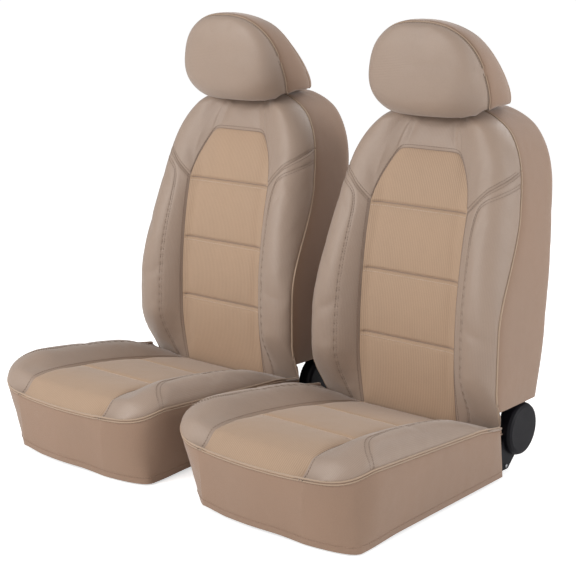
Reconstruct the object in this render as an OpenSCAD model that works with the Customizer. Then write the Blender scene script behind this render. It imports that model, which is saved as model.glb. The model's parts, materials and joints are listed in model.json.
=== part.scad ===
// A pair of front bucket seats dressed in a fitted seat cover set.
// The seats face -Y. Each seat slides on floor rails, its backrest reclines and its headrest lifts.

/* [Seats] */
// Distance between the centre planes of the two seats
seat_spacing = 572; // [550:5:700]
// Height of the skirt hem above the floor
hem_gap = 8; // [8:1:20]
// Thickness of the padded cover panels
panel_t = 4; // [3:0.5:5]

/* [Cushion] */
// Width of the cushion between its side seams
cushion_w = 506; // [490:2:520]
// Depth of the cushion from the backrest to its front seam
cushion_d = 546; // [520:2:560]
// Width of the cushion's mesh insert
cushion_insert_w = 260; // [230:2:270]
// Height of the side bolsters above the insert
cushion_bolster_h = 32; // [15:1:40]
// Height of the front seam above the hem
front_seam_h = 133; // [120:1:140]
// How far the skirt's hem is gathered in on the seat's -X side
hem_gather = 13; // [5:1:16]

/* [Backrest] */
// Width of the backrest at its widest height
back_w = 510; // [490:2:520]
// Height of the backrest's top above the hem
back_top = 790; // [780:2:800]
// Height of the lumbar peak above the hem
lumbar_h = 262; // [240:2:280]
// Radius of the lumbar curve of the front face
lumbar_r = 1316; // [1200:4:1500]
// Height of the side bolsters in front of the insert
back_bolster_h = 56; // [30:1:60]
// Width of the backrest's mesh insert below its shoulders
back_insert_w = 260; // [230:2:266]
// Height of the insert's widest point above the hem
insert_shoulder_h = 575; // [560:1:590]
// Height of the insert's top edge above the hem
insert_top_h = 697; // [690:1:705]
// Lean of the backrest's rear and of the headrest posts, in degrees
back_lean = 9.6; // [8:0.2:11]

/* [Headrest] */
// Width of the headrest across its middle
head_w = 300; // [294:2:306]
// Depth of the headrest across its foot
head_d = 225; // [215:1:228]
// Height of the headrest
head_h = 224; // [216:1:228]
// Diameter of the headrest posts
post_d = 12; // [10:1:14]

/* [Mechanism] */
// Diameter of the round recliner covers
cover_d = 120; // [100:2:124]
// Distance between the centres of a seat's two rails
rail_spacing = 380; // [370:2:384]
// Length of the floor rails
floor_rail_l = 440; // [430:2:446]
// Diameter of the bolt holes in the floor rails
bolt_hole_d = 9; // [8:0.5:10]

/* [Hidden] */
SEATS = ["left", "right"];

// Colours
taupe = [0.66, 0.58, 0.51];
mesh_tan = [0.69, 0.60, 0.49];
stretch_tan = [0.63, 0.52, 0.44];
foam_grey = [0.35, 0.35, 0.36];
black_plastic = [0.08, 0.08, 0.09];
steel = [0.6, 0.6, 0.62];
webbing = [0.2, 0.2, 0.2];

// Clearances
seam_gap = 1.5;
foam_gap = 10;
running = 0.05;

// Cushion proportions
cushion_half = cushion_w / 2;
corner_start = cushion_d - 106;
corner_run = 116;
left_hem_corner = 301;
right_hem_corner = 42;
left_hem_rise = 7;
right_hem_drop = 4;
ridge_share = 0.8;

// Backrest proportions
back_bottom = 92;
side_hem = 152;
shoulder_start = 600;
shoulder_run = (back_top - shoulder_start) / 0.958;
rear_base = 140;
rear_corner = 30;
shoulder_share = 0.555;
top_share = 0.36;
style_rise = 92;
// Sideways shares of the points along a diagonal style line
style_shares = [shoulder_share, 0.62, 0.7, 0.8, 0.86, 0.93, 1];

// Headrest proportions
head_y = 93;
head_front_d = 95;
head_top_d = 43;
head_z = back_top + 74;
head_power = 0.35;
head_seam = 17;
seam_tilt = 38;

// Posts run parallel to the backrest's rear and cross its top here
post_y = 152;
post_x = 60;
guide_d = 18;

// Recliner
pivot_y = 98;
pivot_z = 87;
pivot_d = 16;
ear_x = 205;
ear_t = 4;
bracket_x = 213;
cover_x = 222;
cover_depth = 32;

// Centres the pair front to back on the origin
pair_y = 142;

function lerp(a, b, t) = a + (b - a) * t;
function clamp01(t) = min(1, max(0, t));
function smooth(t) = clamp01(t) * clamp01(t) * (3 - 2 * clamp01(t));
function steps(a, b, n) = [for (i = [0 : n]) lerp(a, b, i / n)];
function signed_power(v, p) = sign(v) * pow(abs(v), p);
// A rising list that starts at 0, with its negatives put before it
function mirrored(list) = concat([for (i = [len(list) - 1 : -1 : 1]) -list[i]], list);

// Half width of a round cornered outline: full before start, closing by a power curve after it
function closing(half, t, start, run, p) =
    t <= start ? half : half * pow(1 - pow((t - start) / run, p), 1 / p);

// Sideways share of a point that rolls over the edge, from the ridge to the seam
function roll_angle(s) = max(0, s - ridge_share) / (1 - ridge_share) * 90;
function roll_share(s) = s < ridge_share ? s : ridge_share + (1 - ridge_share) * sin(roll_angle(s));

// ---- solids from grids of points ----

// Closed slab between an outer and an inner grid of points. Seen from outside, the outer grid's
// rows and columns turn clockwise, or with flip anticlockwise.
module slab(outer, inner, flip = false) {
    rows = len(outer);
    cols = len(outer[0]);
    n = rows * cols;
    function at(layer, r, c) = layer * n + r * cols + c;
    points = [for (grid = [outer, inner]) for (row = grid) for (p = row) p];
    skin = [for (r = [0 : rows - 2]) for (c = [0 : cols - 2]) for (f = [
        [at(0, r, c), at(0, r, c + 1), at(0, r + 1, c + 1)],
        [at(0, r, c), at(0, r + 1, c + 1), at(0, r + 1, c)],
        [at(1, r, c), at(1, r + 1, c + 1), at(1, r, c + 1)],
        [at(1, r, c), at(1, r + 1, c), at(1, r + 1, c + 1)]]) f];
    row_ends = [for (c = [0 : cols - 2]) for (f = [
        [at(0, 0, c + 1), at(0, 0, c), at(1, 0, c)],
        [at(0, 0, c + 1), at(1, 0, c), at(1, 0, c + 1)],
        [at(0, rows - 1, c), at(0, rows - 1, c + 1), at(1, rows - 1, c + 1)],
        [at(0, rows - 1, c), at(1, rows - 1, c + 1), at(1, rows - 1, c)]]) f];
    col_ends = [for (r = [0 : rows - 2]) for (f = [
        [at(0, r + 1, cols - 1), at(0, r, cols - 1), at(1, r, cols - 1)],
        [at(0, r + 1, cols - 1), at(1, r, cols - 1), at(1, r + 1, cols - 1)],
        [at(0, r, 0), at(0, r + 1, 0), at(1, r + 1, 0)],
        [at(0, r, 0), at(1, r + 1, 0), at(1, r, 0)]]) f];
    polyhedron(points, turned(concat(skin, row_ends, col_ends), flip));
}

function turned(faces, flip) = flip ? [for (f = faces) [f[0], f[2], f[1]]] : faces;

// Closed solid through a list of closed rings, with a fan over each end
module ring_solid(rings, flip = false) {
    cols = len(rings[0]);
    rows = len(rings);
    first = rows * cols;
    last = first + 1;
    points = concat([for (ring = rings) for (p = ring) p], [centre_of(rings[0]), centre_of(rings[rows - 1])]);
    walls = [for (r = [0 : rows - 2]) for (c = [0 : cols - 1]) for (f = [
        [r * cols + c, r * cols + (c + 1) % cols, (r + 1) * cols + (c + 1) % cols],
        [r * cols + c, (r + 1) * cols + (c + 1) % cols, (r + 1) * cols + c]]) f];
    ends = [for (c = [0 : cols - 1]) for (f = [
        [(c + 1) % cols, c, first],
        [(rows - 1) * cols + c, (rows - 1) * cols + (c + 1) % cols, last]]) f];
    polyhedron(points, turned(concat(walls, ends), flip));
}

// Closed band through a list of closed rings, the last joined to the first
module ring_band(rings) {
    cols = len(rings[0]);
    rows = len(rings);
    walls = [for (r = [0 : rows - 1]) for (c = [0 : cols - 1]) for (f = [
        [r * cols + c, r * cols + (c + 1) % cols, ((r + 1) % rows) * cols + (c + 1) % cols],
        [r * cols + c, ((r + 1) % rows) * cols + (c + 1) % cols, ((r + 1) % rows) * cols + c]]) f];
    polyhedron([for (ring = rings) for (p = ring) p], walls);
}

function centre_of(ring) = [for (k = [0 : 2]) [for (p = ring) p[k]] * [for (p = ring) 1] / len(ring)];

// ---- cushion surfaces, with t the distance forward from the backrest ----

function cushion_half_at(t) = closing(cushion_half, t, corner_start, corner_run, 2.6);
function front_roll(t) = t <= corner_start ? 0
    : 38 * (1 - sqrt(max(0, 1 - pow((t - corner_start) / (cushion_d - corner_start), 2))));
function crown_z(t) = front_seam_h - 36 + 0.25 * t - 0.00021 * t * t - front_roll(t);
function bolster_z(t) = cushion_bolster_h * smooth((t + 20) / 260) * (1 - 0.85 * smooth((t - 410) / 130));
function side_seam_z(t) = front_seam_h - 7 + 0.0638 * t - 27 * smooth((t - 455) / 85);

// The cushion's top at the share a across. A core lies inset below it and stays level where the
// side seam stands above the bolster.
function cushion_top(a, t, inset, core = false) =
    let (s = abs(a), roll = roll_angle(s), rise = bolster_z(t) * smooth((s - 0.5) / 0.3),
         drop = crown_z(t) + rise - side_seam_z(t), steep = smooth(drop / 25),
         tuck = core ? inset : inset * steep + 6 * (1 - steep) * smooth((s - 0.6) / 0.3))
    [sign(a) * roll_share(s) * (cushion_half_at(t) - tuck),
     -t + inset * smooth((t - corner_start) / (cushion_d - corner_start)),
     crown_z(t) + rise - (core ? max(drop, 0) : drop) * (1 - cos(roll)) - inset];

cushion_rows = concat(steps(4, corner_start, 7), [for (g = [30, 60, 90])
    lerp(corner_start, cushion_d, sin(g))]);
// Share at which a point is a given distance from the centre line
function share_at(d, half) = d / half <= ridge_share ? d / half
    : ridge_share + (1 - ridge_share) * asin((d / half - ridge_share) / (1 - ridge_share)) / 90;
function insert_a(t) = share_at(cushion_insert_w / 2, cushion_half_at(t));

// Outline of the hem at the distance t forward. It is gathered in round the -X corner.
hem_d = cushion_d - 3;
function hem_half_at(way, t) = let (corner = way < 0 ? left_hem_corner : right_hem_corner)
    closing(cushion_half + (way < 0 ? -hem_gather : 2), t, hem_d - corner, corner / 0.914, 2.6);

// Point of the skirt: from p on the seam, v of the way down to the hem
function skirt_point(p, v, inset) =
    let (t = min(-p[1], cushion_d), front = smooth((t - 380) / 150), way = sign(p[0]),
         side = way * smooth(abs(p[0]) / 120),
         scale_y = hem_d / cushion_d,
         hem_x = abs(p[0]) > 102 ? way * hem_half_at(way, t * scale_y) : p[0],
         hem_y = p[1] * scale_y + (1 - smooth(t / 150)) * 14,
         corner = smooth((t - 380) / 110) * smooth((abs(p[0]) - 60) / 90),
         sag = (way < 0 ? left_hem_rise : -right_hem_drop) * corner)
    [lerp(p[0], hem_x, v) - side * inset, lerp(p[1], hem_y, v) + front * inset, lerp(p[2], sag, v)];

skirt_outline = concat(
    [for (t = cushion_rows) [cushion_half_at(t), -t, side_seam_z(t)]],
    [for (x = [100, 50, 0, -50, -100]) [x, -cushion_d - 6 * (1 - pow(x / 140, 2)), front_seam_h - 3]],
    [for (i = [len(cushion_rows) - 1 : -1 : 0]) let (t = cushion_rows[i])
        [-cushion_half_at(t), -t, side_seam_z(t)]]);

// ---- backrest surfaces, with z the height above the hem ----

function front_y(z) = pow(z - lumbar_h, 2) / (2 * lumbar_r);
function rear_y(z) = rear_base + z * tan(back_lean) - pow(max(0, z - back_top + 50), 2) / 110;
function bolster_y(z) = back_bolster_h * (smooth((z - 85) / 150) - 0.62 * smooth((z - 330) / 380));
function seam_y(z) = front_y(z) + lerp(-27, 42, smooth((z - 320) / 260))
    + 32 * (1 - smooth((z - back_bottom) / 110)) - 12 * smooth((z - back_top + 50) / 50);
// Share by which the front face has rolled back to the seam at the top
function top_roll(z) = 1 - sqrt(1 - pow(clamp01((z - back_top + 36) / 36), 2));
function back_half_at(z) = closing(back_w / 2 - 34 * pow((z - 250) / 420, 2)
    - 14 * pow(max(0, 170 - z) / 80, 2), z, shoulder_start, shoulder_run, 2.8);

function back_front(a, z, inset) =
    let (s = abs(a), roll = roll_angle(s), rise = bolster_y(z) * smooth((s - 0.42) / 0.36),
         face_y = front_y(z) - rise + (seam_y(z) - front_y(z) + rise) * (1 - cos(roll)))
    [sign(a) * roll_share(s) * (back_half_at(z) - inset),
     lerp(face_y, seam_y(z), top_roll(z)) + inset,
     z - inset * smooth((z - shoulder_start) / (back_top - shoulder_start))];

// Side of the backrest: u from the front seam to the start of the back panel
function back_side(way, z, u, inset) =
    let (g = max(0, u - 0.6) / 0.4 * 90, flat = min(1, u / 0.6))
    [way * (back_half_at(z) - inset - (rear_corner - inset) * (1 - cos(g))),
     lerp(seam_y(z), rear_y(z) - rear_corner, flat) + (rear_corner - inset) * sin(g),
     z - inset * smooth((z - shoulder_start) / (back_top - shoulder_start))];

function back_rear(a, z, inset) =
    [a * (back_half_at(z) - rear_corner), rear_y(z) - inset,
     z - inset * smooth((z - shoulder_start) / (back_top - shoulder_start))];

function insert_edge(z) = z <= insert_shoulder_h ? back_insert_w / 2 / back_half_at(z)
    : lerp(shoulder_share, top_share, (z - insert_shoulder_h) / (insert_top_h - insert_shoulder_h));
function style_z(s) = insert_shoulder_h + style_rise * (s - shoulder_share) / (1 - shoulder_share);
function yoke_z(s) = s <= top_share ? insert_top_h
    : s <= shoulder_share
    ? lerp(insert_top_h, insert_shoulder_h, (s - top_share) / (shoulder_share - top_share))
    : style_z(s);

shoulder_rows = [for (g = [15, 30, 45, 60, 72]) lerp(shoulder_start, back_top, sin(g) / sin(72))];
back_rows = concat(steps(side_hem, shoulder_start, 7), shoulder_rows);

// ---- headrest surface: latitude from the front pole to the rear pole, longitude round the Y axis ----

// It is a wedge: deep at its foot, which rests over the backrest's top, and thin at its top.
// Its seams tilt: they run further forward over the top.
function head_floor(y) = back_top + 8 - 26 * smooth((118 - y) / 50);
function head_point(lat, lon) =
    let (tilted = lat - seam_tilt * sin(lon) * (1 - abs(lat) / 90),
         k = pow(cos(tilted), head_power),
         up = k * signed_power(sin(lon), 0.81) * head_h / 2,
         out = k * signed_power(cos(lon), 0.81) * head_w / 2,
         rear_d = lerp(head_d - head_front_d, head_top_d, smooth((up + 36) / 132)),
         y = head_y + signed_power(sin(tilted), 0.8) * (tilted < 0 ? head_front_d : rear_d))
    [out * (1 - 0.12 * up / (head_h / 2)), y, max(head_z + up - 0.27 * (y - head_y), head_floor(y))];

// Rings of the headrest drawn in towards its middle by the share keep
head_middle = [0, head_y + 7, head_z + 16];
head_lons = steps(0, 345, 23);
function head_ring(lat, keep) = [for (lon = head_lons)
    head_middle + (head_point(lat, lon) - head_middle) * keep];
function head_rings(lats, keep) = [for (lat = lats) head_ring(lat, keep)];
function backwards(list) = [for (i = [len(list) - 1 : -1 : 0]) list[i]];
panel_keep = 0.955;
head_foam_keep = 0.85;

module head_shell(lats, flip = false) {
    ring_solid(concat(head_rings(lats, 1), head_rings(backwards(lats), panel_keep)), flip);
}
front_lats = [-89.5, -86, -76, -62, -46, -30, -head_seam - 1];
band_lats = [-head_seam, 0, 16, 32];
back_lats = [89.5, 86, 76, 62, 48, 33];

// ---- covers ----

module headrest_front_panel() {
    head_shell(front_lats);
}

module headrest_side_band() {
    ring_band(concat(head_rings(band_lats, 1), head_rings(backwards(band_lats), panel_keep)));
}

module headrest_back_panel() {
    head_shell(back_lats, true);
}

module backrest_insert() {
    rows = concat(steps(back_bottom, insert_shoulder_h, 8), [636, insert_top_h - seam_gap]);
    cols = steps(-1, 1, 8);
    slab([for (z = rows) [for (c = cols) back_front(c * insert_edge(z), z, 0)]],
        [for (z = rows) [for (c = cols) back_front(c * insert_edge(z), z, panel_t)]], true);
}

// The yoke fills the front above the insert and above the two diagonal style lines
module backrest_yoke() {
    cols = mirrored(concat([0, 0.18, top_share, 0.46], style_shares));
    function z_at(a, v) = lerp(yoke_z(abs(a)) + seam_gap, back_top, sin(v * 72) / sin(72));
    function grid(inset) = [for (v = steps(0, 1, 5)) [for (a = cols) back_front(a, z_at(a, v), inset)]];
    slab(grid(0), grid(panel_t), true);
}

module backrest_bolster(way) {
    cols = [for (s = style_shares) (s - shoulder_share) / (1 - shoulder_share)];
    function z_at(u, v) = lerp(back_bottom, style_z(lerp(shoulder_share, 1, u)) - seam_gap, v);
    function inner_edge(z) = z <= insert_shoulder_h ? insert_edge(z) : shoulder_share;
    function share(u, z) = lerp(inner_edge(z) + 0.008, 1, u);
    function grid(inset) = [for (v = steps(0, 1, 9)) [for (u = cols)
        back_front(way * share(u, z_at(u, v)), z_at(u, v), inset)]];
    slab(grid(0), grid(panel_t), way > 0);
}

module backrest_side(way) {
    cols = [0.04, 0.3, 0.6, 0.75, 0.88, 1];
    slab([for (z = back_rows) [for (u = cols) back_side(way, z, u, 0)]],
        [for (z = back_rows) [for (u = cols) back_side(way, z, u, panel_t)]], way > 0);
}

// Flat cap over the backrest, with a hole for each post guide
module backrest_top_panel() {
    half = back_half_at(back_top) - 8;
    front = seam_y(back_top) + panel_t + 2;
    rear = rear_y(back_top) - panel_t - 2;
    translate([0, 0, back_top - panel_t]) linear_extrude(panel_t) difference() {
        polygon([[-half, front], [half, front], [half, rear - rear_corner], [half - rear_corner - 2, rear],
            [rear_corner + 2 - half, rear], [-half, rear - rear_corner]]);
        for (x = [-post_x, post_x]) translate([x, post_y]) circle(d = guide_d + 2, $fn = 48);
    }
}

module backrest_back_panel() {
    rows = concat([120], [for (z = back_rows) z]);
    cols = steps(-0.985, 0.985, 6);
    slab([for (z = rows) [for (a = cols) back_rear(a, z, 0)]],
        [for (z = rows) [for (a = cols) back_rear(a, z, panel_t)]]);
}

// Elastic strap from the front of the backrest cover, under the foam, to its back panel
module backrest_tie_strap() {
    strap_z = 92;
    for (x = [-90, 90]) translate([x - 12.5, 24, strap_z]) cube([25, rear_y(strap_z) - 32, 1.5]);
    for (x = [-90, 90]) translate([x - 15, rear_y(strap_z) - 8, strap_z - 2]) cube([30, 3, 28]);
}

module cushion_insert() {
    cols = steps(-1, 1, 8);
    slab([for (t = cushion_rows) [for (c = cols) cushion_top(c * insert_a(t), t, 0)]],
        [for (t = cushion_rows) [for (c = cols) cushion_top(c * insert_a(t), t, panel_t)]]);
}

module cushion_bolster(way) {
    cols = [0, 0.3, 0.55, 0.75, 0.88, 1];
    rows = [for (t = cushion_rows) min(t, cushion_d - 3)];
    function share(u, t) = way * lerp(insert_a(t) + 0.008, 1, u);
    slab([for (t = rows) [for (u = cols) cushion_top(share(u, t), t, 0)]],
        [for (t = rows) [for (u = cols) cushion_top(share(u, t), t, panel_t)]], way < 0);
}

module cushion_skirt() {
    levels = [0.05, 0.35, 0.7, 1];
    slab([for (v = levels) [for (p = skirt_outline) skirt_point(p, v, 0)]],
        [for (v = levels) [for (p = skirt_outline) skirt_point(p, v, panel_t - 1)]], true);
}

// ---- foams ----

module headrest_foam() {
    ring_solid(head_rings([-89, -80, -65, -45, -22, 0, 22, 45, 65, 80, 89], head_foam_keep));
}

// A pad with thick side rolls and a hollow behind it for the frame and the posts
module backrest_foam() {
    foam_top = back_top - 30;
    rows = concat([back_bottom + 4, side_hem - 3], [for (z = back_rows) if (z < foam_top) z], [foam_top]);
    cols = mirrored([0, 0.2, 0.4, 0.5, 0.6, 0.7, 0.8, 0.86, 0.93, 1]);
    narrow = 190;
    function squeeze(z) = z < side_hem ? narrow / back_half_at(z) : 1;
    function outer(a, z) = back_front(a * squeeze(z), z, foam_gap);
    function hollow_y(z) = max(front_y(z), 18) + lerp(44, 26, smooth((z - 650) / 80));
    function inner(a, z) = let (p = outer(a, z), deep = abs(a) > 0.9 && z >= side_hem,
        y = deep ? max(rear_y(z) - rear_corner - 12, hollow_y(z)) : hollow_y(z))
        [p[0], max(p[1] + 4, y), p[2]];
    slab([for (z = rows) [for (a = cols) outer(a, z)]], [for (z = rows) [for (a = cols) inner(a, z)]], true);
}

// Share of the seam's width that fits inside the skirt at the foot of the foam
function core_share(t) = lerp(cushion_half_at(t), hem_half_at(-1, t), 0.6) / cushion_half_at(t) - 0.01;

module cushion_foam() {
    cols = mirrored([0, 0.5, 0.65, 0.8, 0.87, 0.93, 1]);
    rows = [for (t = cushion_rows) max(t, 14)];
    slab([for (t = rows) [for (a = cols) cushion_top(a, t, foam_gap, true)]],
        [for (t = rows) [for (a = cols) let (p = cushion_top(a, t, foam_gap + 4, true))
            [p[0] * core_share(t), p[1], 62]]]);
}

// ---- seat structure ----

module rod(a, b, d) {
    v = b - a;
    translate(a) rotate([0, acos(v[2] / norm(v)), atan2(v[1], v[0])]) cylinder(d = d, h = norm(v), $fn = 32);
}

// Point on a headrest post's axis at height z
function post_at(x, z) = [x, post_y + (z - back_top) * tan(back_lean), z];

module headrest_posts() {
    top = back_top + 66;
    for (x = [-post_x, post_x]) rod(post_at(x, back_top - 180), post_at(x, top), post_d);
    rod(post_at(-post_x, top - 12), post_at(post_x, top - 12), post_d - 3);
}

module headrest_guides() {
    for (way = [-1, 1]) along_post(way) difference() {
        union() {
            translate([0, 0, -90]) cylinder(d = guide_d, h = 94, $fn = 48);
            translate([0, 0, 2]) cylinder(d = guide_d + 8, h = 2.2, $fn = 48);
        }
        translate([0, 0, -91]) cylinder(d = post_d + 2 * running, h = 100, $fn = 48);
    }
}

// Bent tube with hinge ears below and a holder for each post guide above
module backrest_frame() {
    tube = 20;
    foot = [ear_x - 2, pivot_y + 20, 160];
    shoulder = [165, 190, 600];
    corner = [120, 200, 655];
    for (way = [-1, 1]) {
        path = [for (p = [foot, shoulder, corner]) [way * p[0], p[1], p[2]]];
        for (i = [0, 1]) rod(path[i], path[i + 1], tube);
        for (i = [1, 2]) translate(path[i]) sphere(d = tube + 4, $fn = 48);
        hinge_ear(way);
        guide_holder(way, path[2]);
    }
    rod([-188, pivot_y + 32, 220], [188, pivot_y + 32, 220], tube - 4);
}

module hinge_ear(way) {
    difference() {
        translate([way * ear_x - ear_t / 2, 0, 0]) rotate([90, 0, 90]) linear_extrude(ear_t) union() {
            translate([pivot_y, pivot_z]) circle(r = 28, $fn = 64);
            polygon([[pivot_y - 24, pivot_z + 10], [pivot_y + 24, pivot_z + 10],
                [pivot_y + 34, 178], [pivot_y + 8, 178]]);
        }
        translate([way * ear_x - 5, pivot_y, pivot_z]) rotate([0, 90, 0])
            cylinder(d = pivot_d + 2 * running, h = 10, $fn = 64);
    }
}

// Tube round a post guide, with the arm that ties it to the frame's corner
module guide_holder(way, corner) {
    middle = post_at(way * post_x, back_top - 75);
    difference() {
        union() {
            along_post(way) translate([0, 0, -100]) cylinder(d = 26, h = 60, $fn = 48);
            rod(corner, middle, 14);
        }
        along_post(way) translate([0, 0, -131]) cylinder(d = guide_d + 0.4, h = 100, $fn = 48);
    }
}

// Moves to a post's axis where it crosses the backrest's top
module along_post(way) {
    translate(post_at(way * post_x, back_top)) rotate([-back_lean, 0, 0]) children();
}

module rounded_plate(w, l, r) {
    square([w - 2 * r, l], center = true);
    square([w, l - 2 * r], center = true);
    for (x = [-1, 1]) for (y = [-1, 1]) translate([x * (w / 2 - r), y * (l / 2 - r)]) circle(r = r, $fn = 48);
}

module cushion_pan() {
    pan_w = 430;
    pan_l = 470;
    pan_y = -262;
    difference() {
        translate([0, pan_y, 57]) linear_extrude(2.5) rounded_plate(pan_w, pan_l, 60);
        translate([0, pan_y, 50]) cylinder(r = 70, h = 20, $fn = 64);
    }
    for (x = [-1, 1]) translate([x * (rail_spacing / 2) - 12, pan_y - 160, 44]) cube([24, 320, 13.5]);
    for (x = [-1, 1]) for (y = [-400, -120])
        translate([x * (rail_spacing / 2) - 12, y, 38]) cube([24, 30, 7]);
}

strap_rows = [-330, -200];

module cushion_straps() {
    for (y = strap_rows) translate([-cushion_half + 24, y - 12.5, 40]) cube([cushion_w - 48, 25, 1.5]);
    for (y = strap_rows) for (x = [-1, 1])
        translate([x * (cushion_half - 23) - 1, y - 17, 26]) cube([2, 34, 28]);
}

module strap_buckles() {
    for (y = strap_rows) translate([60, y, 33.5]) linear_extrude(6) difference() {
        rounded_plate(56, 34, 7);
        for (x = [-18, 18]) translate([x, 0]) square([6, 26], center = true);
    }
}

// Upper rails, folded round the floor rails that they slide on
module seat_rails() {
    for (x = [-rail_spacing / 2, rail_spacing / 2]) translate([x, 70, 0]) rotate([90, 0, 0])
        linear_extrude(480) difference() {
            translate([-18, 6]) square([36, 32]);
            translate([-15, 5]) square([30, 29]);
        }
}

module floor_rail() {
    translate([0, 60, 0]) difference() {
        rotate([90, 0, 0]) linear_extrude(floor_rail_l) difference() {
            translate([-13, -hem_gap]) square([26, 30]);
            translate([-10, -hem_gap + 3]) square([20, 30]);
        }
        for (y = [-45, -floor_rail_l + 45])
            translate([0, y, -hem_gap - 1]) cylinder(d = bolt_hole_d, h = 5, $fn = 48);
    }
}

module floor_rails() {
    for (seat = SEATS) place(seat) for (x = [-rail_spacing / 2, rail_spacing / 2])
        translate([x, 0, 0]) floor_rail();
}

module recliner_brackets() {
    for (way = [-1, 1]) difference() {
        translate([way * bracket_x - ear_t / 2, 0, 0]) rotate([90, 0, 90]) linear_extrude(ear_t) union() {
            translate([pivot_y, pivot_z]) circle(r = 34, $fn = 64);
            polygon([[pivot_y - 33, pivot_z + 8], [0, 39], [70, 39], [pivot_y + 33, pivot_z - 8]]);
            translate([0, 39]) square([70, 3]);
        }
        translate([way * bracket_x - 5, pivot_y, pivot_z]) rotate([0, 90, 0])
            cylinder(d = pivot_d - 2, h = 10, $fn = 64);
    }
    for (way = [-1, 1]) translate([way * (rail_spacing / 2 + 4) - 13, 0, 38.5]) cube([26, 70, 3.5]);
}

// Stepped pins: the ear turns on the wide part, the narrow part is fixed in the bracket
module recliner_pivots() {
    for (way = [-1, 1]) translate([0, pivot_y, pivot_z]) rotate([0, 90 * way, 0]) {
        translate([0, 0, ear_x - 8]) cylinder(d = pivot_d + 10, h = 5, $fn = 64);
        translate([0, 0, ear_x - 3.5])
            cylinder(d = pivot_d, h = bracket_x - ear_t / 2 - ear_x + 3.5, $fn = 64);
        translate([0, 0, bracket_x - ear_t / 2]) cylinder(d = pivot_d - 2, h = ear_t + 4, $fn = 64);
    }
}

// Black plastic covers: a bevelled round cap on a shield that runs down beside the rail
module recliner_covers() {
    r = cover_d / 2;
    for (way = [-1, 1]) translate([0, pivot_y, pivot_z]) rotate([0, 90 * way, 0]) {
        translate([0, 0, cover_x]) rotate_extrude($fn = 96)
            polygon([[0, cover_depth - 3], [0, cover_depth], [r - 9, cover_depth], [r - 3, cover_depth - 3],
                [r, cover_depth - 9], [r, 0], [r - 3, 0], [r - 3, cover_depth - 8], [r - 8, cover_depth - 3]]);
        translate([0, 0, cover_x + 2]) difference() {
            cylinder(r = 12, h = cover_depth - 4, $fn = 48);
            translate([0, 0, -1]) cylinder(r = 4, h = cover_depth - 6, $fn = 48);
        }
    }
    for (way = [-1, 1]) translate([way * (cover_x + 12) - 3, 0, 0]) rotate([90, 0, 90]) linear_extrude(6)
        difference() {
            polygon([[18, 1], [62, 1], [pivot_y + 40, pivot_z - 20], [pivot_y - 56, pivot_z + 10]]);
            translate([pivot_y, pivot_z]) circle(r = r - 0.5, $fn = 96);
            translate([52, 10]) circle(r = 2.5, $fn = 32);
        }
}

// ---- the pair ----

module place(seat) {
    translate([(seat == "right" ? 1 : -1) * seat_spacing / 2, pair_y, hem_gap]) children();
}

module show(name) {
    children();
}

for (seat = SEATS) place(seat) {
    inboard = seat == "right" ? -1 : 1;
    show(str(seat, "_headrest_front_panel")) color(taupe) headrest_front_panel();
    show(str(seat, "_headrest_side_band")) color(stretch_tan) headrest_side_band();
    show(str(seat, "_headrest_back_panel")) color(stretch_tan) headrest_back_panel();
    show(str(seat, "_headrest_foam")) color(foam_grey) headrest_foam();
    show(str(seat, "_headrest_posts")) color(steel) headrest_posts();
    show(str(seat, "_backrest_insert")) color(mesh_tan) backrest_insert();
    show(str(seat, "_backrest_yoke")) color(taupe) backrest_yoke();
    show(str(seat, "_backrest_inboard_bolster")) color(taupe) backrest_bolster(inboard);
    show(str(seat, "_backrest_outboard_bolster")) color(taupe) backrest_bolster(-inboard);
    show(str(seat, "_backrest_inboard_side")) color(stretch_tan) backrest_side(inboard);
    show(str(seat, "_backrest_outboard_side")) color(stretch_tan) backrest_side(-inboard);
    show(str(seat, "_backrest_top_panel")) color(stretch_tan) backrest_top_panel();
    show(str(seat, "_backrest_back_panel")) color(stretch_tan) backrest_back_panel();
    show(str(seat, "_backrest_foam")) color(foam_grey) backrest_foam();
    show(str(seat, "_backrest_frame")) color(steel) backrest_frame();
    show(str(seat, "_headrest_guides")) color(black_plastic) headrest_guides();
    show(str(seat, "_backrest_tie_strap")) color(webbing) backrest_tie_strap();
    show(str(seat, "_cushion_insert")) color(mesh_tan) cushion_insert();
    show(str(seat, "_cushion_inboard_bolster")) color(taupe) cushion_bolster(inboard);
    show(str(seat, "_cushion_outboard_bolster")) color(taupe) cushion_bolster(-inboard);
    show(str(seat, "_cushion_skirt")) color(stretch_tan) cushion_skirt();
    show(str(seat, "_cushion_foam")) color(foam_grey) cushion_foam();
    show(str(seat, "_cushion_pan")) color(steel) cushion_pan();
    show(str(seat, "_cushion_straps")) color(webbing) cushion_straps();
    show(str(seat, "_strap_buckles")) color(black_plastic) strap_buckles();
    show(str(seat, "_recliner_brackets")) color(steel) recliner_brackets();
    show(str(seat, "_recliner_pivots")) color(steel) recliner_pivots();
    show(str(seat, "_recliner_covers")) color(black_plastic) recliner_covers();
    show(str(seat, "_seat_rails")) color(steel) seat_rails();
}
show("floor_rails") color(steel) floor_rails();
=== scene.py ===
"""Looks of a pair of front seats dressed in a fitted cover set: sewn panels, stitching and materials.

Every size below is in millimetres in a seat's own frame: x from the seat's centre plane, y from the
backrest's lumbar peak (the seat faces -Y) and z from the skirt's hem. Meshes are made in metres.
"""
import json
import math

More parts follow.
